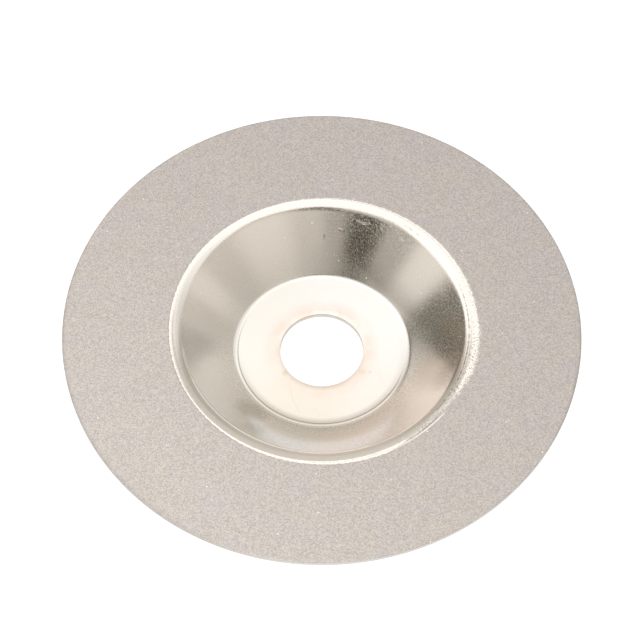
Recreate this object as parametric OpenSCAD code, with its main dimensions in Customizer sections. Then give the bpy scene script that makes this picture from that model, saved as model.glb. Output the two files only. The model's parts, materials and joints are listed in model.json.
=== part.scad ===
// Electroplated diamond grinding disc with a depressed centre.
// The origin is the centre of the bore at the hub's back face. +Z points along the spindle
// axis, towards the diamond face. All lengths are in millimetres.

/* [Disc] */
// Outside diameter of the finished disc
disc_d = 100; // [90:1:125]
// Diameter of the finished arbor bore
bore_d = 16.3; // [15:0.1:22.5]
// Thickness of the bare steel sheet
steel_t = 0.9; // [0.6:0.1:1.5]
// Thickness of the nickel plating on every face of the steel
plating_t = 0.05; // [0.02:0.01:0.1]

/* [Depressed centre] */
// How far the hub lies below the rim
dish_depth = 9.4; // [6:0.1:12]
// Diameter of the flat part of the hub, out to the start of its bend
hub_flat_d = 33.2; // [28:0.2:38]
// Slope of the cone wall above the hub, in degrees
cone_angle = 40.5; // [30:0.5:60]
// Bend radius between the hub and the cone, at the middle of the sheet
hub_bend_r = 2; // [1.2:0.1:3]
// Bend radius of the shoulder between the cone and the rim, at the middle of the sheet
shoulder_bend_r = 3.1; // [1.2:0.1:4]

/* [Diamond face] */
// Bare shoulder left between the start of the flat rim and the coating
coat_gap = 0.3; // [0.1:0.1:1.5]
// Thickness of the nickel that holds the diamond
bond_t = 0.07; // [0.04:0.01:0.15]
// How far the diamond stands out of the nickel: about one 600 grit crystal
grit_t = 0.03; // [0.02:0.01:0.06]
// Width of one cluster of crystals
cluster_w = 0.4; // [0.3:0.05:0.8]
// Number of clusters
cluster_count = 300; // [60:12:480]

/* [Hidden] */

$fn = 180;

// Radii of the finished disc
disc_r = disc_d / 2;
bore_r = bore_d / 2;
hub_flat_r = hub_flat_d / 2;

// Half the thickness of the plated sheet
plated_half_t = steel_t / 2 + plating_t;
// Heights of the middle of the sheet, in the hub and in the rim
hub_mid_z = plated_half_t;
rim_mid_z = hub_mid_z + dish_depth;
// Height of the plated front face of the rim, which carries the coating
rim_front_z = rim_mid_z + plated_half_t;

// The cone wall runs straight between the two bends
bends_r = hub_bend_r + shoulder_bend_r;
cone_length = (dish_depth - bends_r * (1 - cos(cone_angle))) / sin(cone_angle);
// Radius at which the rim becomes flat
shoulder_r = hub_flat_r + bends_r * sin(cone_angle) + cone_length * cos(cone_angle);
// Centres of the two bends in the half section, as radius and height
hub_bend = [hub_flat_r, hub_mid_z + hub_bend_r];
shoulder_bend = [shoulder_r, rim_mid_z - shoulder_bend_r];
// Straight steps along each bend: the flats lie within 0.003 mm of the true arc
bend_steps = 10;
// Inner radius of the coating
coat_r = shoulder_r + coat_gap;

// Clusters keep clear of both edges of the coating by their own width
grit_in_r = coat_r + cluster_w;
grit_out_r = disc_r - cluster_w;
// Turning by the golden angle spreads the clusters evenly over a ring
golden_angle = 180 * (3 - sqrt(5));
// Clusters have from 5 to 7 sides, and each is turned on from the one before
cluster_sides = [5, 6, 7];
cluster_turn = 47;

// Points along an arc, both ends included
function arc(centre, r, from, to) = [
    for (i = [0:bend_steps])
        let (turn = from + (to - from) * i / bend_steps)
            centre + r * [cos(turn), sin(turn)]
];

// Half section of the dished sheet, with skin added to every face of the bare steel
module sheet_section(skin) {
    half_t = steel_t / 2 + skin;
    in_r = bore_r + plating_t - skin;
    out_r = disc_r - plating_t + skin;
    front = concat(
        [[in_r, hub_mid_z + half_t]],
        arc(hub_bend, hub_bend_r - half_t, -90, cone_angle - 90),
        arc(shoulder_bend, shoulder_bend_r + half_t, 90 + cone_angle, 90),
        [[out_r, rim_mid_z + half_t]]
    );
    back = concat(
        [[out_r, rim_mid_z - half_t]],
        arc(shoulder_bend, shoulder_bend_r - half_t, 90, 90 + cone_angle),
        arc(hub_bend, hub_bend_r + half_t, cone_angle - 90, -90),
        [[in_r, hub_mid_z - half_t]]
    );
    polygon(concat(front, back));
}

// The dished sheet as a solid of revolution
module dished_sheet(skin) {
    rotate_extrude()
        sheet_section(skin);
}

// Pressed and punched from flat steel
module steel_blank() {
    color([0.55, 0.56, 0.58])
        dished_sheet(0);
}

// One closed skin over the front, the back, the rim and the bore wall
module nickel_plating() {
    color([0.80, 0.77, 0.72])
        difference() {
            dished_sheet(plating_t);
            dished_sheet(0);
        }
}

// Nickel built up round the diamond, on the flat of the rim only
module nickel_bond() {
    color([0.69, 0.67, 0.65])
        translate([0, 0, rim_front_z])
            difference() {
                cylinder(r = disc_r, h = bond_t);
                translate([0, 0, -bond_t])
                    cylinder(r = coat_r, h = 3 * bond_t);
            }
}

// Proud clusters of diamond, standing on the bond and spread evenly over the ring
module diamond_grit() {
    color([0.86, 0.84, 0.76])
        for (i = [0:cluster_count - 1]) {
            share = (i + 0.5) / cluster_count;
            r = sqrt(pow(grit_in_r, 2) + share * (pow(grit_out_r, 2) - pow(grit_in_r, 2)));
            rotate(i * golden_angle)
                translate([r, 0, rim_front_z + bond_t])
                    rotate(i * cluster_turn)
                        cylinder(d = cluster_w, h = grit_t, $fn = cluster_sides[i % 3]);
        }
}

steel_blank();
nickel_plating();
nickel_bond();
diamond_grit();
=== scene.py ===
"""Looks of a dished, electroplated diamond grinding wheel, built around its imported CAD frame.

Lengths are in metres and angles in degrees, unless a name or a comment says otherwise; turns and
CONE_ANGLE are in radians. The wheel lies on its hub: +Z is the spindle axis, and the diamond face
looks up. Azimuths run from +X towards +Y, so the camera, on the near side, stands at -90, and the
right side is at 0.
"""
import json
import math
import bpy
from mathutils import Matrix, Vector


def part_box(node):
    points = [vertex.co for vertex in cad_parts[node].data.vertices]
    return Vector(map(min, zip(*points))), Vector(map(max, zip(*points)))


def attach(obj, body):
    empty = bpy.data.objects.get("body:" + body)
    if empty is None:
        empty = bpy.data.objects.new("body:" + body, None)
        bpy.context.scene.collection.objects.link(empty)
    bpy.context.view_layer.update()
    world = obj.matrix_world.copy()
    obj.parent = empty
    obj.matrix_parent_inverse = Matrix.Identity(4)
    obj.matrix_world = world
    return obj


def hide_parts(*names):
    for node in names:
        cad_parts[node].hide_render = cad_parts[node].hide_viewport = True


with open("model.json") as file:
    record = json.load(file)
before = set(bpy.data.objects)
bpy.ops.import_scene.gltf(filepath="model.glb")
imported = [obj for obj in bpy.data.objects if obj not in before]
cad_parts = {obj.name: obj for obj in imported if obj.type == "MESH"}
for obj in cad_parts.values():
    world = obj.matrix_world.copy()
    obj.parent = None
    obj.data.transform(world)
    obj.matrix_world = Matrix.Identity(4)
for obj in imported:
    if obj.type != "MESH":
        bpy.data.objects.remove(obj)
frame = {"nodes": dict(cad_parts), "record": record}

from types import SimpleNamespace

import bpy
import numpy as np
from mathutils import Vector

MM = 0.001
TURN = 2 * math.pi
SEED = 600

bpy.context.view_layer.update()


# ---------------------------------------------------------------- sizes, from the frame

def radii_at(node, height):
    """Smallest and largest radius of a CAD node's points at one height."""
    points = np.array([v.co for v in frame["nodes"][node].data.vertices])
    level = np.abs(points[:, 2] - height) < 1e-6
    radii = np.hypot(points[level, 0], points[level, 1])
    return float(radii.min()), float(radii.max())


MOUNTS = {m["name"]: m for m in frame["record"]["mounts"]}
BORE_R = MOUNTS["arbor_bore"]["dims"]["r_mm"] * MM
SHEET_T = MOUNTS["arbor_bore"]["dims"]["length_mm"] * MM
DISC_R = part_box("nickel_plating")[1].x
RIM_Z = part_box("nickel_plating")[1].z
BOND_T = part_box("nickel_bond")[1].z - RIM_Z
FACE_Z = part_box("diamond_grit")[1].z
HUB_FLAT_R = radii_at("nickel_plating", SHEET_T)[1]
SHOULDER_R = radii_at("nickel_plating", RIM_Z)[0]
COAT_R = radii_at("nickel_bond", RIM_Z)[0]

# Bend radii at the middle of the sheet; the cone's slope follows from them and the frame
HUB_BEND_R = 2.0 * MM
SHOULDER_BEND_R = 3.1 * MM
BENDS_R = HUB_BEND_R + SHOULDER_BEND_R
DISH_RUN = SHOULDER_R - HUB_FLAT_R
DISH_DEPTH = RIM_Z - SHEET_T
CONE_ANGLE = math.atan2(DISH_DEPTH - BENDS_R, DISH_RUN) + math.asin(
    BENDS_R / math.hypot(DISH_RUN, DISH_DEPTH - BENDS_R))

HUB_BEND = (HUB_FLAT_R, SHEET_T / 2 + HUB_BEND_R)
SHOULDER_BEND = (SHOULDER_R, RIM_Z - SHEET_T / 2 - SHOULDER_BEND_R)
# Where the front of the cone starts to bend over into the shoulder
CONE_END_R = SHOULDER_R - (SHOULDER_BEND_R + SHEET_T / 2) * math.sin(CONE_ANGLE)


# ---------------------------------------------------------------- helpers

def heading(azimuth_deg, elevation_deg=0):
    """Unit vector: azimuth 0 is +X and 90 is +Y, elevation 90 is straight up."""
    azimuth, elevation = math.radians(azimuth_deg), math.radians(elevation_deg)
    return Vector((math.cos(azimuth) * math.cos(elevation),
                   math.sin(azimuth) * math.cos(elevation), math.sin(elevation)))


def rgb(r, g, b):
    return (r, g, b, 1.0)


def arc(centre, radius, start_deg, stop_deg, steps):
    """Points (r, z) along an arc, both ends included."""
    turns = np.radians(np.linspace(start_deg, stop_deg, steps + 1))
    return [(centre[0] + radius * math.cos(t), centre[1] + radius * math.sin(t)) for t in turns]


def line(start, stop, steps):
    """Points strictly between two ends."""
    shares = np.arange(1, steps) / steps
    return [(start[0] + s * (stop[0] - start[0]), start[1] + s * (stop[1] - start[1]))
            for s in shares]


def mesh_object(name, points, faces, smooth=True):
    mesh = bpy.data.meshes.new(name)
    mesh.from_pydata(points.tolist(), [], faces.tolist())
    mesh.polygons.foreach_set("use_smooth", np.full(len(mesh.polygons), smooth))
    mesh.update()
    piece = bpy.data.objects.new(name, mesh)
    bpy.context.scene.collection.objects.link(piece)
    return piece


def closed_ring(name, r, z, azimuth_deg):
    """A closed solid of revolution whose outline may change with the turn.

    r and z hold one row for each point of the outline and one column for each azimuth.
    """
    rows, columns = r.shape
    turns = np.radians(azimuth_deg)
    points = np.stack([r * np.cos(turns), r * np.sin(turns), z], axis=-1).reshape(-1, 3)
    row, column = np.meshgrid(np.arange(rows), np.arange(columns), indexing="ij")
    next_row, next_column = (row + 1) % rows, (column + 1) % columns
    faces = np.stack([row * columns + column, row * columns + next_column,
                      next_row * columns + next_column, next_row * columns + column], axis=-1)
    return mesh_object(name, points, faces.reshape(-1, 4))


def ring_noise(rng, count, low, high):
    """Periodic noise of unit deviation round a ring, with low to high waves a turn."""
    spectrum = np.zeros(count // 2 + 1, complex)
    waves = np.arange(low, min(high, count // 2))
    spectrum[waves] = rng.normal(size=len(waves)) + 1j * rng.normal(size=len(waves))
    noise = np.fft.irfft(spectrum, count)
    return noise / noise.std()


def smooth_share(value, low, high):
    """0 up to low, rising smoothly to 1 at high."""
    share = np.clip((value - low) / (high - low), 0, 1)
    return share * share * (3 - 2 * share)


def bump_between(angle_deg, centre_deg, half_width_deg):
    """1 at a direction, falling smoothly to 0 at half_width from it."""
    off = (angle_deg - centre_deg + 180) % 360 - 180
    return 1 - smooth_share(np.abs(off), 0, half_width_deg)


def sector(angle_deg, centre_deg, half_width_deg, steepness):
    """1 over a sector, falling to 0 at half_width from its middle; steeper is a wider 1."""
    return np.clip(steepness * bump_between(angle_deg, centre_deg, half_width_deg), 0, 1)


# ---------------------------------------------------------------- the plated sheet

SKIN_STEPS = 580                    # round the whole turn
MARKED_FROM, MARKED_TO = 44, 92     # the knocked stretch of the wall, which has finer steps
MARKED_SHARE = 0.36                 # of all the steps
EDGE_R = 0.12 * MM      # the plating rounds the rim's edges
BORE_EDGE_R = 0.06 * MM
EDGE_STEPS = 5
HUB_STEPS = 8           # over the flat of the hub, up to its step
HUB_STEP_STEPS = 9      # over that step
FRONT_BEND_STEPS = 17
BACK_BEND_STEPS = 8
RIM_STEPS = 3
WAVE_H = 0.006 * MM     # the pressed walls are not perfectly even
WAVES_A_TURN = (3, 14)

# The coating's mask was a little large, and was laid off centre
MASK_OVERSIZE = 0.03 * MM
COAT_SHIFT = 0.44 * MM
COAT_SHIFT_AZIMUTH = -26

# The press leaves a low step round the near side of the hub, and a bead under the near shoulder
HUB_STEP_H = 0.07 * MM
HUB_STEP_R = HUB_FLAT_R - 0.16 * MM
HUB_STEP_W = 0.20 * MM
HUB_STEP_ENDS = (HUB_FLAT_R + 0.1 * MM, HUB_FLAT_R + 0.58 * MM)
HUB_STEP_SECTOR = (254, 98, 4)      # middle and half width in degrees, and steepness
BEAD_H = 0.13 * MM
BEAD_RISE = 0.20 * MM
BEAD_FALL = 0.16 * MM
BEAD_R = CONE_END_R - 0.04 * MM
BEAD_SECTOR = (247, 68, 3)
# The press also left a fine line round the right of the shoulder
TOOL_LINE_R = 28.42 * MM
TOOL_LINE_W = 0.10 * MM
TOOL_LINE_H = 0.042 * MM
TOOL_LINE_SECTOR = (-14, 34, 2)
# The plating thickens a little beside the near coating, up to a level land at its edge
LAND_H = 0.024 * MM
LAND_W = 0.78 * MM
LAND_LEVEL_W = 0.17 * MM
LAND_ENDS = (0.5 * MM, 3 * MM)      # under the coating it thins again
LAND_SECTOR = (275, 95, 3)

# The front's wall, as radii and how many rows there are up to the next: they are close where the
# wall is knocked, at the bead, at the scratch and beside the coating
WALL_STRETCHES = [
    (HUB_FLAT_R + 1.1 * MM, 8),
    (CONE_END_R - 3.9 * MM, 19),
    (CONE_END_R - 1.9 * MM, 18),
    (CONE_END_R - 0.25 * MM, 16),
    (CONE_END_R + 0.45 * MM, 5),
    (SHOULDER_R - 1.35 * MM, 9),
    (SHOULDER_R - 0.9 * MM, 3),
]
# How far inside the coating's edge the last rows of the wall lie
ROWS_BESIDE_COAT_MM = (0.78, 0.66, 0.53, 0.4, 0.26, 0.13, 0.1, 0.065, 0.03, -0.05, -1)
# The wall's rows start to follow the coating's edge here, do so fully from LAND_W inside it, and
# leave it again under the coating
FOLLOW_FROM = COAT_R - 1.6 * MM
FOLLOW_ENDS = (COAT_R + 0.1 * MM, COAT_R + 3 * MM)

# Knocks and scratches: radius and azimuth of both ends, width and depth (mm and degrees)
MARKS = [
    (26.37, 74.4, 26.16, 71.6, 0.10, 0.042),
    (26.16, 71.6, 26.46, 68.9, 0.10, 0.042),
    (25.98, 70.3, 26.16, 71.0, 0.10, 0.034),
    (26.75, 70.2, 26.56, 69.4, 0.10, 0.026),
    (24.59, 81.8, 24.39, 79.8, 0.12, 0.042),
    (26.35, 63.8, 26.12, 62.8, 0.12, 0.034),
    (26.86, 64.3, 26.75, 62.8, 0.10, 0.020),
    (26.30, 54.4, 26.24, 52.7, 0.12, 0.042),
    (28.46, 54.9, 28.44, 51.5, 0.09, 0.038),
    (28.44, 51.5, 28.41, 48.0, 0.08, 0.034),
    (28.41, 48.0, 28.37, 46.9, 0.13, 0.038),
    (23.47, 89.2, 23.47, 88.9, 0.11, 0.030),
]


def wall_rows():
    """The front from the cone's foot to just under the coating."""
    stops = [low for low, _ in WALL_STRETCHES[1:]] + [COAT_R - LAND_W]
    outward = [low + (stop - low) * i / count
               for (low, count), stop in zip(WALL_STRETCHES, stops) for i in range(count)]
    beside = [COAT_R - off * MM for off in ROWS_BESIDE_COAT_MM]
    # The hub's bend ends beside the first radius, so that one is left out
    return [(r, front_height(r)) for r in outward[1:] + beside]


def skin_rows():
    """The rows of the plated sheet as (r, z): the front from the bore outwards, then the back."""
    half_t = SHEET_T / 2
    cone_deg = math.degrees(CONE_ANGLE)
    bore_top = (BORE_R + BORE_EDGE_R, SHEET_T - BORE_EDGE_R)
    bore_under = (BORE_R + BORE_EDGE_R, BORE_EDGE_R)
    rim_top = (DISC_R - EDGE_R, RIM_Z - EDGE_R)
    rim_under = (DISC_R - EDGE_R, RIM_Z - SHEET_T + EDGE_R)

    bore_edge = arc(bore_top, BORE_EDGE_R, 180, 90, EDGE_STEPS)
    hub_bend = arc(HUB_BEND, HUB_BEND_R - half_t, -90, cone_deg - 90, FRONT_BEND_STEPS)
    rim_edge = arc(rim_top, EDGE_R, 90, 0, EDGE_STEPS)
    step_start = (HUB_STEP_R - HUB_STEP_W / 2, SHEET_T)
    wall = wall_rows()
    front = (bore_edge + line(bore_edge[-1], step_start, HUB_STEPS) + [step_start]
             + line(step_start, hub_bend[0], HUB_STEP_STEPS) + hub_bend
             + wall + line(wall[-1], rim_edge[0], RIM_STEPS) + rim_edge)

    rim_edge_under = arc(rim_under, EDGE_R, 0, -90, EDGE_STEPS)
    shoulder_under = arc(SHOULDER_BEND, SHOULDER_BEND_R - half_t, 90, 90 + cone_deg, BACK_BEND_STEPS)
    hub_bend_under = arc(HUB_BEND, HUB_BEND_R + half_t, cone_deg - 90, -90, BACK_BEND_STEPS)
    bore_edge_under = arc(bore_under, BORE_EDGE_R, -90, -180, EDGE_STEPS)
    back = rim_edge_under + shoulder_under + hub_bend_under + bore_edge_under
    return np.array(front), np.array(back)


def front_height(r):
    """Height of the plated front face at a radius, from the cone outwards."""
    convex_r = SHOULDER_BEND_R + SHEET_T / 2
    off = np.clip(SHOULDER_R - r, 0, SHOULDER_R - CONE_END_R)
    bend = SHOULDER_BEND[1] + np.sqrt(convex_r ** 2 - off ** 2)
    past = np.clip(CONE_END_R - r, 0, None)
    return bend - past * math.tan(CONE_ANGLE)


def off_centre(azimuth_deg):
    """How far the coating's mask moves the coating's inner edge outwards."""
    return COAT_SHIFT * np.cos(np.radians(azimuth_deg - COAT_SHIFT_AZIMUTH)) + MASK_OVERSIZE


def press_relief(r, azimuth_deg):
    """Height of what the press left: the step round the hub, the bead and the tool line."""
    step = smooth_share(r, HUB_STEP_R - HUB_STEP_W / 2, HUB_STEP_R + HUB_STEP_W / 2)
    step = step * (1 - smooth_share(r, *HUB_STEP_ENDS)) * sector(azimuth_deg, *HUB_STEP_SECTOR)
    bead = np.clip(np.minimum((r - BEAD_R) / BEAD_RISE + 1, 1 - (r - BEAD_R) / BEAD_FALL), 0, 1)
    bead = bead * sector(azimuth_deg, *BEAD_SECTOR)
    drawn = np.exp(-((r - TOOL_LINE_R) / TOOL_LINE_W) ** 2) * sector(azimuth_deg, *TOOL_LINE_SECTOR)
    return step * HUB_STEP_H + bead * BEAD_H - drawn * TOOL_LINE_H


def land_relief(r, azimuth_deg):
    """How much the plating thickens beside the near coating."""
    inside = COAT_R + off_centre(azimuth_deg) - r
    land = np.clip((LAND_W - inside) / (LAND_W - LAND_LEVEL_W), 0, 1)
    land = land * (1 - smooth_share(-inside, *LAND_ENDS))
    return LAND_H * land * sector(azimuth_deg, *LAND_SECTOR)


def mark_relief(r, azimuth_deg):
    """Height of the knocks and scratches: each is a groove with a raised lip."""
    relief = np.zeros(np.broadcast(r, azimuth_deg).shape)
    turns = np.radians(azimuth_deg)
    x, y = r * np.cos(turns) / MM, r * np.sin(turns) / MM
    for start_r, start_azimuth, stop_r, stop_azimuth, width, depth in MARKS:
        start, stop = heading(start_azimuth) * start_r, heading(stop_azimuth) * stop_r
        run = stop - start
        along = ((x - start.x) * run.x + (y - start.y) * run.y) / run.length
        across = ((y - start.y) * run.x - (x - start.x) * run.y) / run.length
        past = np.maximum(np.maximum(-along, along - run.length), 0)
        fade = np.exp(-(past / width) ** 2)
        relief -= depth * MM * fade * np.exp(-(across / width) ** 2) * (1 - across / width)
    return relief


def build_skin():
    """The nickel plating: front, back, bore and rim in one closed shell, with its marks."""
    rng = np.random.default_rng(SEED)
    front, back = skin_rows()
    fine = round(SKIN_STEPS * MARKED_SHARE)
    azimuth_deg = np.concatenate([
        np.linspace(MARKED_FROM, MARKED_TO, fine, endpoint=False),
        np.linspace(MARKED_TO, MARKED_FROM + 360, SKIN_STEPS - fine, endpoint=False)])[None, :]
    # Only the cone and its bends wave: the seats, the bore and the rim stay true
    wave = ring_noise(rng, 360, *WAVES_A_TURN) * WAVE_H
    wave = np.interp(azimuth_deg, np.arange(360), wave, period=360)
    rings = []
    for outline in (front, back):
        r = outline[:, :1]
        free = np.sin(math.pi * np.clip((r - HUB_FLAT_R) / (SHOULDER_R - HUB_FLAT_R), 0, 1))
        rings.append((r + free * wave, np.repeat(outline[:, 1:], SKIN_STEPS, axis=1)))
    front_r, front_z = rings[0]
    # The rows beside the coating follow its inner edge
    follow = smooth_share(front_r, FOLLOW_FROM, COAT_R - LAND_W)
    follow = follow * (1 - smooth_share(front_r, *FOLLOW_ENDS))
    moved_r = front_r + follow * off_centre(azimuth_deg)
    front_z += np.where(follow > 0, front_height(moved_r) - front_height(front_r), 0)
    for relief in (press_relief, land_relief, mark_relief):
        front_z += relief(moved_r, azimuth_deg)
    back_r, back_z = rings[1]
    return closed_ring("plated_skin", np.concatenate([moved_r, back_r]),
                       np.concatenate([front_z, back_z]), azimuth_deg)


# ---------------------------------------------------------------- the diamond coating

COAT_STEPS = 1020
COAT_AZIMUTHS = np.arange(COAT_STEPS) * 360 / COAT_STEPS
COAT_ROWS = 80
# A quarter of the rows are spent on the first twentieth of the width
NEAR_ROWS, NEAR_WIDTH = 0.25, 0.05
# How ragged the coating's inner edge is; its two bands of waves together reach 1.4
RAGGED_H = 0.045 * MM / 1.4
RAGGED_WAVES = [(60, 200), (200, 500)]
GRAIN_H = 0.010 * MM    # relief of the grain
GRAIN_LIMIT = 2.2
WRAP = 0.15 * MM        # how far the coating wraps down the rim's edge
CREEP_AZIMUTH, CREEP_HALF_TURN = -43, 24
CREEP_H = 1.75 * MM     # how far the coating crept over the shoulder there
CREEP_THINNING = 1.9 * MM
TORN_WAVES = (12, 60)   # the crept edge is torn by a tenth of its height
TORN_SHARE = 0.10
THIN_AZIMUTH, THIN_HALF_TURN = -12, 26
THIN_W = 0.8 * MM       # how wide the coating thins out on the right
THIN_AT_LEAST = 0.12 * MM
PATCHY_FROM_W = 0.5 * MM
# The face starts a little behind the edge, a quarter as thick and with less grain
FACE_START = 0.08 * MM
START_T = 0.25
START_GRAIN = 0.4
FOOT_SINK = 0.01 * MM
LIP_W, LIP_T = 0.03 * MM, 0.2
BROW_W, BROW_T, BROW_GRAIN = 0.03 * MM, 0.25, 0.5
UNDER_W, UNDER_SINK = 0.05 * MM, 0.03 * MM


def coat_edge(rng):
    """Inner radius of the coating round the turn, and how wide it thins out there."""
    ragged = sum(ring_noise(rng, COAT_STEPS, *waves) for waves in RAGGED_WAVES)
    creep = bump_between(COAT_AZIMUTHS, CREEP_AZIMUTH, CREEP_HALF_TURN)
    torn = 1 + TORN_SHARE * ring_noise(rng, COAT_STEPS, *TORN_WAVES)
    edge = COAT_R + off_centre(COAT_AZIMUTHS) + ragged * RAGGED_H
    edge = edge - creep * np.clip(torn, 0.2, 1.5) * CREEP_H
    thin = bump_between(COAT_AZIMUTHS, THIN_AZIMUTH, THIN_HALF_TURN)
    return edge, THIN_AT_LEAST + creep * CREEP_THINNING + thin * THIN_W


def plated_height(r):
    """Height of the plating under the coating."""
    return front_height(r) + land_relief(r, COAT_AZIMUTHS)


def build_coat(edge, thinning, rng):
    """The nickel bond: a ring with a grainy face, a ragged inner edge and a wrapped rim."""
    share = np.linspace(0, 1, COAT_ROWS)[:, None]
    share = (NEAR_WIDTH * np.clip(share / NEAR_ROWS, 0, 1)
             + (1 - NEAR_WIDTH) * np.clip((share - NEAR_ROWS) / (1 - NEAR_ROWS), 0, 1))
    edge, thinning = edge[None, :], thinning[None, :]
    inner = edge + FACE_START
    face_r = inner + share * (DISC_R - EDGE_R - inner)
    cover = np.clip((face_r - inner) / thinning, 0, 1)
    grain = np.clip(rng.normal(size=face_r.shape), -GRAIN_LIMIT, GRAIN_LIMIT) * GRAIN_H
    face_z = front_height(face_r) + BOND_T * (START_T + (1 - START_T) * cover)
    face_z += grain * (START_GRAIN + (1 - START_GRAIN) * cover)
    face_z += (1 - cover) * land_relief(face_r, COAT_AZIMUTHS)
    # The first rows climb from the bare shoulder on to the coating
    foot_r, lip_r = edge, edge + LIP_W
    foot_z = plated_height(foot_r) - FOOT_SINK
    lip_z = plated_height(lip_r) + LIP_T * BOND_T
    # The last rows go over the rim's rounded edge, then back inside the sheet
    brow_r = np.full_like(foot_r, DISC_R - BROW_W)
    brow_z = RIM_Z + BROW_T * BOND_T + grain[-1:, :] * BROW_GRAIN
    hem_r = np.full_like(foot_r, DISC_R)
    hem_z = np.full_like(foot_r, RIM_Z - WRAP)
    tuck_r = np.full_like(foot_r, DISC_R - 2 * EDGE_R)
    tuck_z = np.full_like(foot_r, RIM_Z - 2 * WRAP)
    under_r = edge + UNDER_W
    under_z = front_height(under_r) - UNDER_SINK
    r = np.concatenate([foot_r, lip_r, face_r, brow_r, hem_r, tuck_r, under_r])
    z = np.concatenate([foot_z, lip_z, face_z, brow_z, hem_z, tuck_z, under_z])
    piece = closed_ring("bond_face", r, z, COAT_AZIMUTHS)
    # Bare plate shows between the grains only where the coating thins out widely
    bare, full = np.zeros_like(foot_r), np.ones_like(foot_r)
    covered = np.concatenate([bare, bare, cover, full, full, full, bare])
    patchy = np.clip((thinning - THIN_AT_LEAST) / PATCHY_FROM_W, 0, 1)
    attribute = piece.data.attributes.new("cover", "FLOAT", "POINT")
    attribute.data.foreach_set("value", (1 - (1 - covered) * patchy).ravel())
    return piece


CRYSTALS = 17000
CRYSTAL_MM = 0.050          # median size from the middle to a corner
CRYSTAL_SPREAD = 0.35
CRYSTAL_LIMITS_MM = (0.03, 0.12)
CRYSTAL_SINK = 0.2          # its middle lies this share of its size below the bond's face
CRYSTAL_FROM_EDGE = 0.1 * MM
STRAYS = 900                # crystals that lie loose in the plating of the shoulder
STRAY_LIMITS_MM = (0.035, 0.085)
STRAY_SPREAD_MM = 0.9


def random_turns(rng, count):
    """Random rotation matrices, from unit quaternions."""
    q = rng.normal(size=(count, 4))
    w, x, y, z = (q / np.linalg.norm(q, axis=1, keepdims=True)).T
    rows = [[1 - 2 * (y * y + z * z), 2 * (x * y - z * w), 2 * (x * z + y * w)],
            [2 * (x * y + z * w), 1 - 2 * (x * x + z * z), 2 * (y * z - x * w)],
            [2 * (x * z - y * w), 2 * (y * z + x * w), 1 - 2 * (x * x + y * y)]]
    return np.moveaxis(np.array(rows), 2, 0)


def build_crystals(edge, rng):
    """Diamond crystals, each an octahedron half sunk in the bond, with strays on the shoulder."""
    turn = rng.uniform(0, TURN, CRYSTALS)
    inner = edge[(turn / TURN * len(edge)).astype(int)] + CRYSTAL_FROM_EDGE
    r = np.sqrt(rng.uniform(inner ** 2, (DISC_R - EDGE_R) ** 2))
    size = rng.lognormal(math.log(CRYSTAL_MM), CRYSTAL_SPREAD, CRYSTALS)
    size = np.clip(size, *CRYSTAL_LIMITS_MM) * MM
    z = front_height(r) + BOND_T - CRYSTAL_SINK * size

    stray_turn = np.radians(rng.normal(CREEP_AZIMUTH, CREEP_HALF_TURN, STRAYS))
    stray_r = COAT_R + COAT_SHIFT - np.abs(rng.normal(0, STRAY_SPREAD_MM, STRAYS)) * MM
    stray_size = rng.uniform(*STRAY_LIMITS_MM, STRAYS) * MM

    turn = np.concatenate([turn, stray_turn])
    r = np.concatenate([r, stray_r])
    size = np.concatenate([size, stray_size])
    z = np.concatenate([z, front_height(stray_r)])
    # No crystal stands above the wheel's face
    z = np.minimum(z, FACE_Z - size)

    corners = np.array([[1, 0, 0], [-1, 0, 0], [0, 1, 0], [0, -1, 0], [0, 0, 1], [0, 0, -1]], float)
    sides = np.array([[0, 2, 4], [2, 1, 4], [1, 3, 4], [3, 0, 4],
                      [2, 0, 5], [1, 2, 5], [3, 1, 5], [0, 3, 5]])
    turned = np.einsum("nij,kj->nki", random_turns(rng, len(r)), corners)
    centres = np.stack([r * np.cos(turn), r * np.sin(turn), z], axis=1)
    points = centres[:, None, :] + turned * size[:, None, None]
    faces = sides[None, :, :] + len(corners) * np.arange(len(r))[:, None, None]
    return mesh_object("diamond_crystals", points.reshape(-1, 3), faces.reshape(-1, 3), smooth=False)


# ---------------------------------------------------------------- material helpers

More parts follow.
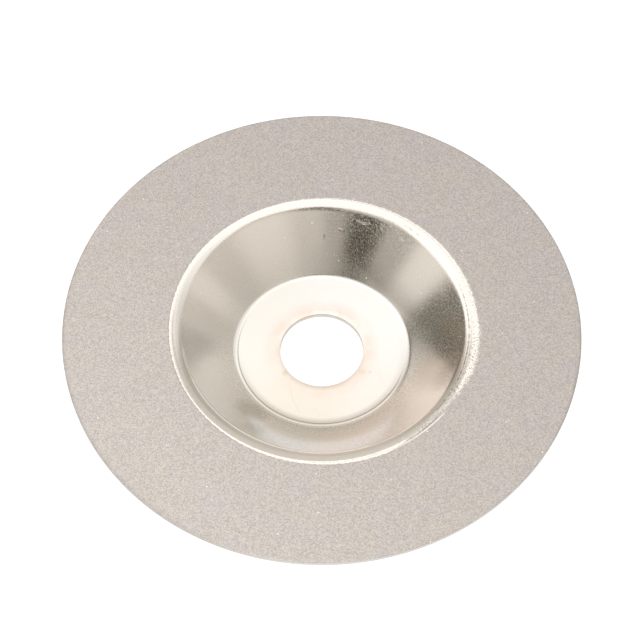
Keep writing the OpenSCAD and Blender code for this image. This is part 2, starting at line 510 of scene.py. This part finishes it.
class Nodes:
    """Small helper that adds and links shader nodes in one tree."""

    def __init__(self, tree):
        self.tree = tree

    def add(self, kind, inputs=None, **settings):
        node = self.tree.nodes.new(kind)
        for key, value in settings.items():
            setattr(node, key, value)
        for key, value in (inputs or {}).items():
            self.put(node, key, value)
        return node

    def put(self, node, key, value):
        socket = node.inputs[key]
        if isinstance(value, bpy.types.NodeSocket):
            self.tree.links.new(value, socket)
        else:
            socket.default_value = value

    def math(self, operation, a, b=0.0, clamp=False):
        node = self.add("ShaderNodeMath", {0: a, 1: b}, operation=operation, use_clamp=clamp)
        return node.outputs[0]

    def times(self, first, *others):
        for other in others:
            first = self.math("MULTIPLY", first, other)
        return first

    def plus(self, first, *others):
        for other in others:
            first = self.math("ADD", first, other)
        return first

    def dot(self, a, b):
        return self.add("ShaderNodeVectorMath", {0: a, 1: b}, operation="DOT_PRODUCT").outputs[1]

    def remap(self, value, low, high, to_low=0.0, to_high=1.0, smooth=False):
        kind = "SMOOTHSTEP" if smooth else "LINEAR"
        node = self.add("ShaderNodeMapRange", {"Value": value, "From Min": low, "From Max": high,
                                               "To Min": to_low, "To Max": to_high},
                        interpolation_type=kind, clamp=True)
        return node.outputs["Result"]

    def towards(self, place, azimuth_deg, low, high, to_low=0.0, to_high=1.0, smooth=False):
        """Remaps how far a place lies from the axis in one direction."""
        return self.remap(self.dot(place, heading(azimuth_deg)), low, high, to_low, to_high, smooth)

    def beside(self, value, middle, gone, full, most=1.0, smooth=False):
        """The most close to a middle value, falling to 0 at gone from it, to either side."""
        off = self.math("ABSOLUTE", self.math("SUBTRACT", value, middle))
        return self.remap(off, gone, full, 0.0, most, smooth)

    def mix(self, share, a, b, blend="MIX"):
        node = self.add("ShaderNodeMix", data_type="RGBA", blend_type=blend)
        self.put(node, 0, share)
        self.put(node, 6, a)
        self.put(node, 7, b)
        return node.outputs[2]

    def mix_values(self, share, a, b, label=""):
        node = self.add("ShaderNodeMix", data_type="FLOAT", label=label)
        self.put(node, 0, share)
        self.put(node, 2, a)
        self.put(node, 3, b)
        return node.outputs[0]

    def grey(self, value):
        return self.add("ShaderNodeCombineColor", {0: value, 1: value, 2: value}).outputs[0]

    def noise(self, place, wavelength, detail=2.0, roughness=0.5):
        node = self.add("ShaderNodeTexNoise", {"Vector": place, "Scale": 1 / wavelength,
                                               "Detail": detail, "Roughness": roughness})
        return node.outputs["Fac"]

    def cells(self, place, width, **settings):
        """Distance from the middle of each cell, as a share of its width, and its random values."""
        node = self.add("ShaderNodeTexVoronoi", {"Vector": place, "Scale": 1 / width}, **settings)
        random = self.add("ShaderNodeSeparateColor", {"Color": node.outputs["Color"]}).outputs
        return node.outputs["Distance"], random

    def off_segment(self, place, start, run):
        """Distance of a place from the straight line that runs on from start."""
        off = self.add("ShaderNodeVectorMath", {0: place, 1: start}, operation="SUBTRACT").outputs[0]
        share = self.math("DIVIDE", self.dot(off, run), run.length_squared, clamp=True)
        foot = self.add("ShaderNodeVectorMath", {0: run, "Scale": share}, operation="SCALE").outputs[0]
        return self.off_point(off, foot)

    def off_point(self, place, point):
        return self.add("ShaderNodeVectorMath", {0: place, 1: point}, operation="DISTANCE").outputs[1]

    def bump(self, height, distance, strength, normal=None):
        node = self.add("ShaderNodeBump", {"Height": height, "Distance": distance,
                                           "Strength": strength})
        if normal is not None:
            self.put(node, "Normal", normal)
        return node.outputs["Normal"]


def new_material(name):
    material = bpy.data.materials.new(name)
    material.use_nodes = True
    material.node_tree.nodes.clear()
    kit = Nodes(material.node_tree)
    shader = kit.add("ShaderNodeBsdfPrincipled")
    kit.add("ShaderNodeOutputMaterial", {"Surface": shader.outputs["BSDF"]})
    place = kit.add("ShaderNodeTexCoord").outputs["Object"]
    return material, kit, shader, place


def radius_of(kit, place):
    """Radius and height of a place."""
    parts = kit.add("ShaderNodeSeparateXYZ", {"Vector": place})
    square = kit.plus(kit.times(parts.outputs[0], parts.outputs[0]),
                      kit.times(parts.outputs[1], parts.outputs[1]))
    return kit.math("SQRT", square), parts.outputs[2]


# ---------------------------------------------------------------- bright nickel

NICKEL = (rgb(0.725, 0.704, 0.668), rgb(0.705, 0.684, 0.650))
HUB_YELLOW = rgb(0.93, 0.89, 0.84)
# Painted highlight over the hub, on its left and on its right
HUB_PAINTED_HIGHLIGHT = (rgb(1.04, 1.065, 1.07), rgb(1.09, 1.13, 1.18))
# Painted peach reflection on the near right of the wall
WALL_PAINTED_PEACH = rgb(1.10, 1.025, 1.0)
BORE_STAIN = rgb(0.72, 0.60, 0.515)
HAIRLINE_BROWN = rgb(0.42, 0.36, 0.29)
# Painted shade on the top of the bore's far edge
BORE_EDGE_SHADE = rgb(0.20, 0.18, 0.15)
TOOL_LINE_DIRT = rgb(0.20, 0.185, 0.17)
# Painted shade on the rim's edge
NICKEL_RIM_SHADE = rgb(0.1, 0.1, 0.1)

# Stains and pits, and broad patches of painted shade on the wall: radius, azimuth, height, reach (mm
# and degrees), strength and colour
NICKEL_STAINS_AND_SHADE = [
    (8.9, -144, 1.0, 0.9, 0.45, rgb(0.60, 0.50, 0.30)),
    (9.3, -32, 1.0, 1.1, 0.35, rgb(0.62, 0.52, 0.42)),
    (10.7, -28, 1.0, 0.5, 0.30, rgb(0.55, 0.48, 0.42)),
    (23.47, 89.0, 6.4, 0.30, 0.60, rgb(0.30, 0.27, 0.22)),
    (25.2, 3.0, 7.8, 3.0, 0.40, rgb(0.72, 0.60, 0.46)),
    # Painted shade on the near right of the wall
    (26.2, -23.0, 9.0, 5.0, 0.35, rgb(0.40, 0.35, 0.30)),
    (23.8, -14.0, 6.4, 9.5, 0.50, rgb(0.38, 0.33, 0.275)),
    # Painted shade on the near left of the wall
    (20.0, -132.0, 3.4, 4.5, 0.50, rgb(0.42, 0.39, 0.33)),
    (24.2, -121.0, 7.0, 3.2, 0.30, rgb(0.42, 0.39, 0.33)),
]
# Hairline scratches on the hub: radius and azimuth of both ends (mm and degrees)
HAIRLINES = [
    (9.95, -129.4, 12.59, -116.3),
    (12.59, -116.3, 14.66, -106.7),
    (13.3, -96.0, 14.7, -90.5),
    (12.1, -24.0, 13.6, -31.0),
]
HAIRLINE_W = 0.09 * MM
# Single matt flakes in the wall's plate
FLAKE_APART = 1.8 * MM
FLAKE_R = 0.16 * MM
HUB_ROUGHNESS = 0.11
WALL_ROUGHNESS = 0.06       # between the pits


def plate_places(kit, place):
    """Where a point of the plate is, and the shares that several of its looks have in common."""
    radius, height = radius_of(kit, place)
    facing = kit.add("ShaderNodeTexCoord").outputs["Normal"]
    front = kit.remap(kit.dot(facing, Vector((0, 0, 1))), -0.1, 0.1)
    wall = kit.remap(radius, HUB_FLAT_R, HUB_FLAT_R + 1.2 * MM, smooth=True)
    hub = kit.remap(wall, 0.0, 1.0, 1.0, 0.0)
    # One side of the hub is a little yellowed
    yellowed = kit.times(kit.towards(place, -80, -4 * MM, 15 * MM, smooth=True), hub)
    return SimpleNamespace(place=place, radius=radius, height=height, front=front, wall=wall,
                           hub=hub, yellowed=yellowed)


def plate_colour(kit, at):
    """Warm nickel with painted shade at the foot of the wall, yellowed on one side of the hub, and a
    painted highlight over the polished hub.
    """
    colour = kit.mix(kit.noise(at.place, 9 * MM), *NICKEL)
    # Painted shade at the foot of the wall, most of all on the far side, and a little painted light at
    # its near foot
    near_side = kit.towards(at.place, -95, -3 * MM, 8 * MM, smooth=True)
    at_foot = kit.remap(near_side, 0.0, 1.0, 0.88, 1.05)
    foot_light_and_shade = kit.remap(at.radius, HUB_FLAT_R + 1.5 * MM, SHOULDER_R - 3 * MM, at_foot, 1.0)
    colour = kit.mix(at.wall, colour, kit.grey(foot_light_and_shade), "MULTIPLY")
    colour = kit.mix(at.yellowed, colour, HUB_YELLOW, "MULTIPLY")
    # The polished hub is lightened by a painted highlight, almost to white on its right
    painted_highlight = kit.mix(kit.towards(at.place, 15, -8 * MM, 8 * MM, smooth=True), *HUB_PAINTED_HIGHLIGHT)
    return kit.mix(at.hub, colour, painted_highlight, "MULTIPLY")


def plate_shade(kit, at):
    """How much painted shade darkens the hub's rim, the crease of its step and the wall's bends."""
    # Painted shade: the yellowed side of the hub is darker at its rim
    rim = kit.remap(at.radius, HUB_FLAT_R - 1.8 * MM, HUB_FLAT_R - 0.3 * MM, 0.0, 0.19, smooth=True)
    # Painted shade in the near crease of the hub's step
    near = kit.towards(at.place, -108, -5 * MM, 4 * MM, smooth=True)
    crease = kit.beside(at.radius, HUB_STEP_R + 0.03 * MM, 0.17 * MM, 0.05 * MM, 0.30, smooth=True)
    # Painted shade where the near wall starts to bend over
    over = kit.beside(at.radius, CONE_END_R + 0.72 * MM, 0.6 * MM, 0.2 * MM, 0.19, smooth=True)
    # Painted shade at the bend at the right foot of the wall, and on the far right foot above it
    right = kit.towards(at.place, -10, 15.4 * MM, 17 * MM, smooth=True)
    bend = kit.beside(at.radius, HUB_FLAT_R + 0.75 * MM, 0.6 * MM, 0.15 * MM, 0.22, smooth=True)
    far_right = kit.towards(at.place, 41, 17 * MM, 18.3 * MM, smooth=True)
    foot = kit.remap(at.radius, HUB_FLAT_R + 5.5 * MM, HUB_FLAT_R + 1.5 * MM, 0.0, 0.20, smooth=True)
    shade = kit.plus(kit.times(at.yellowed, rim), kit.times(near, kit.plus(crease, over)),
                     kit.times(right, bend), kit.times(far_right, foot))
    return kit.times(shade, at.front)


def stained_and_shaded(kit, at, colour):
    """A colour with the stain round the bore, the single stains, patches of painted shade on the wall
    and the hub's hairlines.
    """
    near_bore = kit.remap(at.radius, BORE_R + 4.5 * MM, BORE_R + 0.3 * MM, smooth=True)
    blotch = kit.remap(kit.noise(at.place, 3 * MM, 3), 0.35, 0.65, 0.2, 0.65)
    colour = kit.mix(kit.times(near_bore, blotch), colour, BORE_STAIN)
    # Single stains, and broad patches of painted shade on the wall
    for radius_mm, azimuth_deg, height_mm, reach_mm, strength, tint in NICKEL_STAINS_AND_SHADE:
        centre = heading(azimuth_deg) * (radius_mm * MM)
        centre.z = height_mm * MM
        reach = reach_mm * MM
        share = kit.remap(kit.off_point(at.place, centre), reach, 0.25 * reach, 0.0, strength,
                          smooth=True)
        colour = kit.mix(kit.times(share, at.front), colour, tint)
    for start_r, start_azimuth, stop_r, stop_azimuth in HAIRLINES:
        start = heading(start_azimuth) * (start_r * MM)
        run = heading(stop_azimuth) * (stop_r * MM) - start
        off = kit.off_segment(at.place, start + Vector((0, 0, SHEET_T)), run)
        share = kit.remap(off, HAIRLINE_W, 0.3 * HAIRLINE_W, 0.0, 0.16, smooth=True)
        colour = kit.mix(share, colour, HAIRLINE_BROWN)
    return colour


def tool_line_dirt(kit, at):
    """The dirt in the tool line, and in specks between it and the coating."""
    in_line = kit.times(kit.remap(kit.noise(at.place, 0.5 * MM, 2, 0.6), 0.38, 0.56),
                        kit.beside(at.radius, TOOL_LINE_R, 0.17 * MM, 0.06 * MM, 0.8))
    low = kit.towards(at.place, -30, 0.90 * TOOL_LINE_R, 0.98 * TOOL_LINE_R, 0.25, 0.8)
    specks = kit.times(kit.remap(kit.noise(at.place, 0.33 * MM, 1), 0.57, 0.67), low,
                       kit.remap(at.radius, TOOL_LINE_R, TOOL_LINE_R + 0.6 * MM),
                       kit.remap(at.radius, COAT_R + 1.2 * MM, COAT_R + 0.8 * MM))
    on_right = kit.towards(at.place, -12, 0.80 * TOOL_LINE_R, 0.92 * TOOL_LINE_R)
    return kit.times(kit.math("MAXIMUM", in_line, specks), on_right, at.front)


def dirtied_and_shaded(kit, at, colour):
    """A colour with painted shade on the bore's far edge, the tool line's dirt and painted shade on
    the rim's edge.
    """
    # Painted shade: only the top of the bore's far edge is dark
    bore_edge_shade = kit.times(kit.remap(at.radius, BORE_R + 0.11 * MM, BORE_R + 0.04 * MM, 0.0, 0.55),
                        kit.towards(at.place, 90, 0.0, 3 * MM),
                        kit.remap(at.height, SHEET_T - 0.13 * MM, SHEET_T - 0.05 * MM))
    colour = kit.mix(bore_edge_shade, colour, BORE_EDGE_SHADE)
    colour = kit.mix(tool_line_dirt(kit, at), colour, TOOL_LINE_DIRT)
    # Painted shade: the rim's edge is darker on the near left
    painted_rim_shade = kit.times(kit.towards(at.place, 212, 0.62 * DISC_R, 0.9 * DISC_R, 0.0, 0.3),
                       kit.remap(at.radius, DISC_R - 0.3 * MM, DISC_R - 0.1 * MM))
    return kit.mix(painted_rim_shade, colour, NICKEL_RIM_SHADE)


def matt_share(kit, at, fleck_noise):
    """How matt the wall is: fine flecks, more so towards the shoulder, and single flakes."""
    rising = kit.remap(at.radius, HUB_FLAT_R + 2 * MM, SHOULDER_R - 4 * MM, 0.0, 0.10)
    far = kit.towards(at.place, 90, -10 * MM, 0.0, 0.5, 1.0)
    flecks = kit.times(kit.remap(fleck_noise, 0.46, 0.66), rising, at.wall, far)
    off_flake, random = kit.cells(at.place, FLAKE_APART)
    chosen = kit.remap(random[0], 0.80, 0.81, 0.0, 0.5)
    flake = kit.remap(off_flake, FLAKE_R / FLAKE_APART, 0.5 * FLAKE_R / FLAKE_APART)
    return kit.plus(flecks, kit.times(flake, chosen, at.wall))


def plate_roughness(kit, at, fleck_noise):
    """An even satin hub, a pitted wall, and a haze that is strongest up to the wall's foot."""
    pits = kit.remap(fleck_noise, 0.34, 0.64)
    depth = kit.remap(at.radius, HUB_FLAT_R + 1 * MM, SHOULDER_R - 4 * MM, 0.10, 0.19)
    satin = kit.mix_values(at.wall, HUB_ROUGHNESS, kit.plus(WALL_ROUGHNESS, kit.times(pits, depth)))
    haze = kit.remap(at.radius, HUB_FLAT_R + 7 * MM, HUB_FLAT_R + 1 * MM, 0.0, 0.16, smooth=True)
    return kit.plus(satin, haze)


def plate_normal(kit, at):
    """Satin grain everywhere, and fine lines round the shoulder from the press."""
    grain = kit.bump(kit.noise(at.place, 0.24 * MM, 1.5, 0.6), 0.05 * MM, 0.12)
    ring_place = kit.add("ShaderNodeCombineXYZ", {"X": at.radius, "Z": at.height}).outputs[0]
    drawn = kit.remap(at.radius, SHOULDER_R - 3 * MM, SHOULDER_R - 2 * MM, 0.0, 0.5, smooth=True)
    return kit.bump(kit.noise(ring_place, 0.35 * MM), 0.04 * MM, drawn, grain)


def bright_nickel():
    """Bright nickel plate: warm and satin, with stains on the front only, dirt, painted shade, a
    painted highlight on the hub and a painted peach reflection on the wall.
    """
    material, kit, shader, place = new_material("bright_nickel_plate")
    at = plate_places(kit, place)
    lit = kit.math("SUBTRACT", 1.0, plate_shade(kit, at))
    colour = kit.mix(1.0, plate_colour(kit, at), kit.grey(lit), "MULTIPLY")
    # Painted reflection: the near right of the wall is lightened to a faint peach
    painted_peach_reflection = kit.times(kit.towards(place, -48, 14 * MM, 20 * MM, smooth=True),
                      kit.remap(at.radius, CONE_END_R + 0.9 * MM, CONE_END_R + 0.1 * MM), at.front)
    colour = kit.mix(painted_peach_reflection, colour, WALL_PAINTED_PEACH, "MULTIPLY")
    kit.put(shader, "Base Color", dirtied_and_shaded(kit, at, stained_and_shaded(kit, at, colour)))
    fleck_noise = kit.noise(place, 0.30 * MM, 2, 0.6)
    kit.put(shader, "Metallic", kit.math("SUBTRACT", 1.0, matt_share(kit, at, fleck_noise)))
    kit.put(shader, "Roughness", plate_roughness(kit, at, fleck_noise))
    kit.put(shader, "Normal", plate_normal(kit, at))
    return material


# ---------------------------------------------------------------- bond, diamond and steel

BOND_GREY = (rgb(0.361, 0.343, 0.330), rgb(0.355, 0.338, 0.340))
BOND_PLATE = rgb(0.74, 0.72, 0.69)
BOND_LINE_DIRT = rgb(0.10, 0.09, 0.08)
# Painted shade on the bond's rim
BOND_RIM_SHADE = rgb(0.05, 0.05, 0.05)
GLINT_COLOUR = rgb(0.75, 0.74, 0.71)
GLINT_APART = 7 * MM
GLINT_R = 0.14 * MM
BARE_LINE_R = COAT_R + 0.17 * MM
BARE_LINE_AZIMUTH = -54
# The line is gone 15 degrees to either side of its middle, and whole up to 13 degrees
BARE_LINE_ENDS = (math.cos(math.radians(15)), math.cos(math.radians(13)))


def bare_plate(kit, place, radius):
    """Where bright plate shows in the bond, and where dirt lies beside it."""
    # It shows between the grains where the bond thins out
    cover = kit.add("ShaderNodeAttribute", attribute_name="cover").outputs["Fac"]
    field = kit.math("SUBTRACT", kit.noise(place, 0.32 * MM, 3, 0.6), kit.times(cover, 0.42))
    # The mask's edge left a bare line in the crept part, with dirt in its inner side
    ends = kit.towards(place, BARE_LINE_AZIMUTH, BARE_LINE_R * BARE_LINE_ENDS[0],
                       BARE_LINE_R * BARE_LINE_ENDS[1], smooth=True)
    bare_line = kit.beside(radius, BARE_LINE_R, 0.20 * MM, 0.10 * MM, smooth=True)
    dirt = kit.beside(radius, BARE_LINE_R - 0.30 * MM, 0.12 * MM, 0.04 * MM, 0.6, smooth=True)
    dirt = kit.times(dirt, ends)
    bare = kit.math("MAXIMUM", kit.remap(field, 0.33, 0.50), kit.times(bare_line, ends))
    return kit.times(bare, kit.math("SUBTRACT", 1.0, dirt)), dirt


def bond_nickel():
    """Matt nickel full of diamond: warm grey, mottled, and brighter where it thins out."""
    material, kit, shader, place = new_material("diamond_bond_nickel")
    radius, _ = radius_of(kit, place)
    mottle = kit.remap(kit.noise(place, 4 * MM, 1), 0.3, 0.7)
    _, random = kit.cells(place, 0.19 * MM)
    tone = random[0]
    shade = kit.remap(tone, 0.0, 1.0, 0.76, 1.24)
    colour = kit.mix(1.0, kit.mix(mottle, *BOND_GREY), kit.grey(shade), "MULTIPLY")
    # Here and there one crystal glints
    off_glint, random = kit.cells(place, GLINT_APART, voronoi_dimensions="2D")
    glint = kit.times(kit.remap(off_glint, GLINT_R / GLINT_APART, 0.6 * GLINT_R / GLINT_APART),
                      kit.remap(random[0], 0.80, 0.82))
    colour = kit.mix(glint, colour, GLINT_COLOUR)
    bare, dirt = bare_plate(kit, place, radius)
    colour = kit.mix(dirt, colour, BOND_LINE_DIRT)
    # Painted shade: the rim is darker at both sides
    left = kit.towards(place, 203, 0.62 * DISC_R, 0.88 * DISC_R)
    right = kit.towards(place, -12, 0.93 * DISC_R, 0.985 * DISC_R, 0.0, 0.75)
    painted_rim_shade = kit.times(kit.plus(left, right), kit.remap(radius, DISC_R - 0.7 * MM, DISC_R, 0.0, 0.3))
    colour = kit.mix(painted_rim_shade, colour, BOND_RIM_SHADE)
    kit.put(shader, "Base Color", kit.mix(bare, colour, BOND_PLATE))
    kit.put(shader, "Metallic", kit.remap(bare, 0.0, 1.0, 0.35, 1.0))
    rough = kit.remap(tone, 0.0, 1.0, 0.48, 0.70)
    kit.put(shader, "Roughness", kit.math("SUBTRACT", rough, kit.times(bare, 0.25)))
    kit.put(shader, "Normal", kit.bump(kit.noise(place, 0.28 * MM, 3, 0.6), 0.05 * MM, 0.6))
    return material


DIAMOND_IOR = 2.42


def diamond():
    """Synthetic diamond grit: glassy, pale and a little yellow."""
    material, kit, shader, place = new_material("diamond_crystal")
    _, random = kit.cells(place, 0.25 * MM)
    kit.put(shader, "Base Color", kit.mix(random[1], rgb(0.62, 0.60, 0.53), rgb(0.45, 0.44, 0.42)))
    kit.put(shader, "Roughness", kit.remap(random[1], 0.0, 1.0, 0.08, 0.3))
    kit.put(shader, "IOR", DIAMOND_IOR)
    return material


def blank_steel():
    """Cold-rolled steel under the plating: grey, drawn one way by the rolls."""
    material, kit, shader, place = new_material("cold_rolled_steel")
    drawn = kit.add("ShaderNodeMapping", {"Vector": place, "Scale": (0.04, 1.0, 1.0)}).outputs[0]
    streak = kit.noise(drawn, 0.25 * MM, 4)
    kit.put(shader, "Base Color", kit.mix(streak, rgb(0.30, 0.31, 0.33), rgb(0.42, 0.43, 0.44)))
    kit.put(shader, "Metallic", 1.0)
    kit.put(shader, "Roughness", kit.remap(streak, 0.3, 0.7, 0.32, 0.5))
    kit.put(shader, "Normal", kit.bump(streak, 0.01 * MM, 0.5))
    return material


# ---------------------------------------------------------------- studio

# Each is a name, azimuth, elevation, the angles from its middle at which it is full and gone,
# and its brightness. A later one covers those before it.
STUDIO = [
    ("right_fill", -46, 40, 5, 22, 0.98),
    ("left_fill", -172, 30, 4, 18, 1.03),
    ("far_fill", 90, 16, 6, 20, 0.93),
    ("far_high", 90, 43, 4, 12, 0.88),
    ("right_high", 4, 60, 5, 15, 1.32),
    ("right_strip", 5, 21, 3, 11, 0.99),
    ("right_corner", 40, 28, 4, 12, 0.94),
    ("overhead_softbox", 90, 83, 26, 28.5, 1.53),
    ("far_softbox", 90, 61, 3.5, 6.5, 1.75),
    ("right_softbox", 28, 46, 15, 24, 1.25),
    ("far_left_softbox", 140, 50, 10, 20, 1.60),
    ("left_softbox", 172, 52, 13, 21, 1.62),
    ("camera", -86, 60, 4, 13, 0.23),
    ("tripod", -100, 50, 3, 11, 0.28),
    ("left_drape", -145, 38, 4, 16, 0.55),
    ("camera_flag", -122, 41, 5, 15, 0.10),
    ("left_low_flag", 133, 3, 6, 16, 0.34),
    ("left_flag", 154, 12, 14, 26, 0.24),
    ("far_flag", 42, 5, 9, 18, 0.56),
]
ROOM = 0.77
# The flags are olive, the room is warm, and the softboxes are nearly white
FLAG_TINT = rgb(1.0, 0.91, 0.74)
ROOM_TINT = rgb(1.0, 0.925, 0.83)
SOFTBOX_TINT = rgb(1.0, 0.963, 0.93)


def build_world():
    """A pale studio of softboxes, fills and dark flags, which is seen in the nickel."""
    world = bpy.data.worlds.new("studio")
    bpy.context.scene.world = world
    world.use_nodes = True
    world.node_tree.nodes.clear()
    kit = Nodes(world.node_tree)
    place = kit.add("ShaderNodeTexCoord").outputs["Generated"]
    level = ROOM
    for name, azimuth, elevation, full, gone, brightness in STUDIO:
        towards = kit.dot(place, heading(azimuth, elevation))
        share = kit.remap(towards, math.cos(math.radians(gone)), math.cos(math.radians(full)),
                          smooth=True)
        level = kit.mix_values(share, level, brightness, name)
    tint = kit.mix(kit.remap(level, 0.2, 0.6), FLAG_TINT, ROOM_TINT)
    tint = kit.mix(kit.remap(level, 0.9, 1.3), tint, SOFTBOX_TINT)
    studio = kit.add("ShaderNodeBackground", {"Color": tint, "Strength": level})
    backdrop = kit.add("ShaderNodeBackground", {"Color": rgb(1, 1, 1), "Strength": 1.0})
    seen = kit.add("ShaderNodeLightPath").outputs["Is Camera Ray"]
    both = kit.add("ShaderNodeMixShader", {0: seen, 1: studio.outputs[0], 2: backdrop.outputs[0]})
    kit.add("ShaderNodeOutputWorld", {"Surface": both.outputs[0]})


FLOOR_HALF = 2.0
FLOOR_GAP = 0.01 * MM
FLOOR_GLOW = 0.72       # in the nickel; the camera sees 1


def build_floor():
    """A pale floor that fades into the backdrop."""
    corners = np.array([[-1, -1, 0], [1, -1, 0], [1, 1, 0], [-1, 1, 0]]) * FLOOR_HALF
    floor = mesh_object("studio_floor", corners - [0, 0, FLOOR_GAP], np.array([[0, 1, 2, 3]]),
                        smooth=False)
    material, kit, shader, place = new_material("studio_paper")
    tooth = kit.noise(place, 4 * MM)
    kit.put(shader, "Base Color", kit.mix(tooth, rgb(0.12, 0.12, 0.12), rgb(0.13, 0.13, 0.13)))
    kit.put(shader, "Roughness", 0.9)
    kit.put(shader, "Emission Color", rgb(1, 1, 1))
    # It is burnt out for the camera, like the backdrop, but not in the nickel
    seen = kit.add("ShaderNodeLightPath").outputs["Is Camera Ray"]
    kit.put(shader, "Emission Strength", kit.remap(seen, 0.0, 1.0, FLOOR_GLOW, 1.0))
    # It is clear from below, so that the wheel's back can be looked at
    below = kit.add("ShaderNodeNewGeometry").outputs["Backfacing"]
    clear = kit.add("ShaderNodeBsdfTransparent").outputs[0]
    both = kit.add("ShaderNodeMixShader", {0: below, 1: shader.outputs["BSDF"], 2: clear})
    kit.put(kit.tree.get_output_node("ALL"), "Surface", both.outputs[0])
    floor.data.materials.append(material)


SIDE_LIGHT_AZIMUTH, SIDE_LIGHT_ELEVATION = -130, 42
SIDE_LIGHT_SIZE = 0.22
SIDE_LIGHT_DISTANCE = 0.34
SIDE_LIGHT_WATTS = 1.8
SIDE_LIGHT_COLOUR = (1.0, 0.95, 0.88)


def build_side_light():
    """A softbox close to one side, which makes that side of the matt coating a little lighter."""
    towards = heading(SIDE_LIGHT_AZIMUTH, SIDE_LIGHT_ELEVATION)
    data = bpy.data.lights.new("side_softbox", "AREA")
    data.shape = "DISK"
    data.size = SIDE_LIGHT_SIZE
    data.energy = SIDE_LIGHT_WATTS
    data.color = SIDE_LIGHT_COLOUR
    light = bpy.data.objects.new("side_softbox", data)
    light.location = towards * SIDE_LIGHT_DISTANCE
    light.rotation_euler = towards.to_track_quat("Z", "Y").to_euler()
    light.visible_camera = False
    light.visible_glossy = False
    bpy.context.scene.collection.objects.link(light)


CAMERA_ELEVATION_DEG = 59.2
CAMERA_DISTANCE = 410 * MM
CAMERA_LENS_MM = 119.65
CAMERA_SENSOR_MM = 36
CAMERA_CLIP = 10 * MM
AIM_LEFT = 0.33 * MM
AIM_UP = 1.0 * MM


def build_camera():
    """The camera looks at the middle of the diamond face, a little left of and above it."""
    back = heading(-90, CAMERA_ELEVATION_DEG)
    right = Vector((1, 0, 0))
    up = back.cross(right)
    middle = Vector((0, 0, FACE_Z))
    place = middle + back * CAMERA_DISTANCE
    aim = middle - right * AIM_LEFT + up * AIM_UP
    data = bpy.data.cameras.new("camera")
    data.lens = CAMERA_LENS_MM
    data.sensor_width = CAMERA_SENSOR_MM
    data.clip_start = CAMERA_CLIP
    camera = bpy.data.objects.new("camera", data)
    camera.location = place
    camera.rotation_euler = (aim - place).to_track_quat("-Z", "Y").to_euler()
    bpy.context.scene.collection.objects.link(camera)
    bpy.context.scene.camera = camera


# ---------------------------------------------------------------- assembly

def add_piece(piece, material, node):
    piece.data.materials.clear()
    piece.data.materials.append(material)
    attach(piece, "root")
    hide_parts(node)


build_camera()
build_world()
build_floor()
build_side_light()
bpy.context.scene.view_settings.view_transform = "Standard"

edge_rng = np.random.default_rng(SEED + 1)
edge, thinning = coat_edge(edge_rng)
add_piece(build_skin(), bright_nickel(), "nickel_plating")
add_piece(build_coat(edge, thinning, edge_rng), bond_nickel(), "nickel_bond")
add_piece(build_crystals(edge, edge_rng), diamond(), "diamond_grit")

blank = frame["nodes"]["steel_blank"]
blank.data.materials.clear()
blank.data.materials.append(blank_steel())

bpy.context.view_layer.update()
